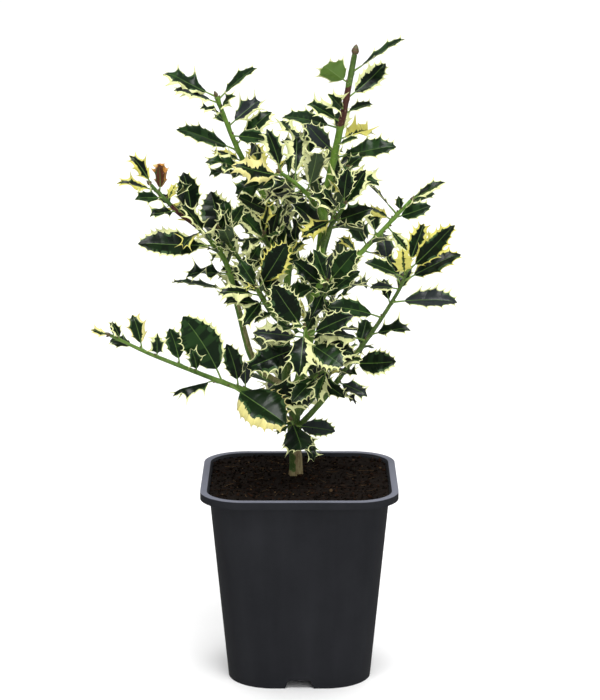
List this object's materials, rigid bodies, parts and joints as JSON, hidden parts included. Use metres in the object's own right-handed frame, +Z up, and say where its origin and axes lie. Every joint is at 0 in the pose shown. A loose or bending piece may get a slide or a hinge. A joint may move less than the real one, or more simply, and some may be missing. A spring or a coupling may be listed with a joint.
{
  "type": "potted variegated holly",
  "caption": "Young variegated holly with a leaning trunk, slim boughs and spiny cream-edged leaves, standing in soil in a square tapering nursery pot.",
  "frame": {"origin": "middle of the flat pad under the pot's floor, level with the pot's foot", "axes": "+Z up, -Y the side the picture shows, +X to the picture's right"},
  "size_m": [0.292, 0.2379, 0.524],
  "materials": {
    "pot_plastic": "dark charcoal moulded plastic, satin, paler where the rim catches light",
    "peat": "dark crumbly peat with reddish fibres",
    "bark": "smooth green young bark, tan and brown at the foot, red-brown near the top",
    "green_wood": "smooth green young wood with brown leaf scars",
    "leaves": "glossy dark green blades with cream margins and stiff spines"
  },
  "bodies": {
    "root": {"bough_back_left": "green_wood", "bough_back_low": "green_wood", "bough_back_mid_left": "green_wood", "bough_back_mid_right": "green_wood", "bough_back_right": "green_wood", "bough_front": "green_wood", "bough_front_left": "green_wood", "bough_inner_left": "green_wood", "bough_left": "green_wood", "bough_low_left": "green_wood", "bough_low_right": "green_wood", "bough_mid_right": "green_wood", "bough_upright": "green_wood", "foliage_back_high": "leaves", "foliage_back_left": "leaves", "foliage_back_low": "leaves", "foliage_back_mid_left": "leaves", "foliage_back_mid_right": "leaves", "foliage_back_right": "leaves", "foliage_front": "leaves", "foliage_front_left": "leaves", "foliage_front_right": "leaves", "foliage_heart": "leaves", "foliage_high_right": "leaves", "foliage_inner_left": "leaves", "foliage_leader": "leaves", "foliage_left": "leaves", "foliage_low_back": "leaves", "foliage_low_front": "leaves", "foliage_low_left": "leaves", "foliage_low_mid": "leaves", "foliage_low_right": "leaves", "foliage_mid_front": "leaves", "foliage_mid_left": "leaves", "foliage_mid_right": "leaves", "foliage_upright": "leaves", "pot": "pot_plastic", "soil": "peat", "trunk": "bark"}
  },
  "joints": []
}
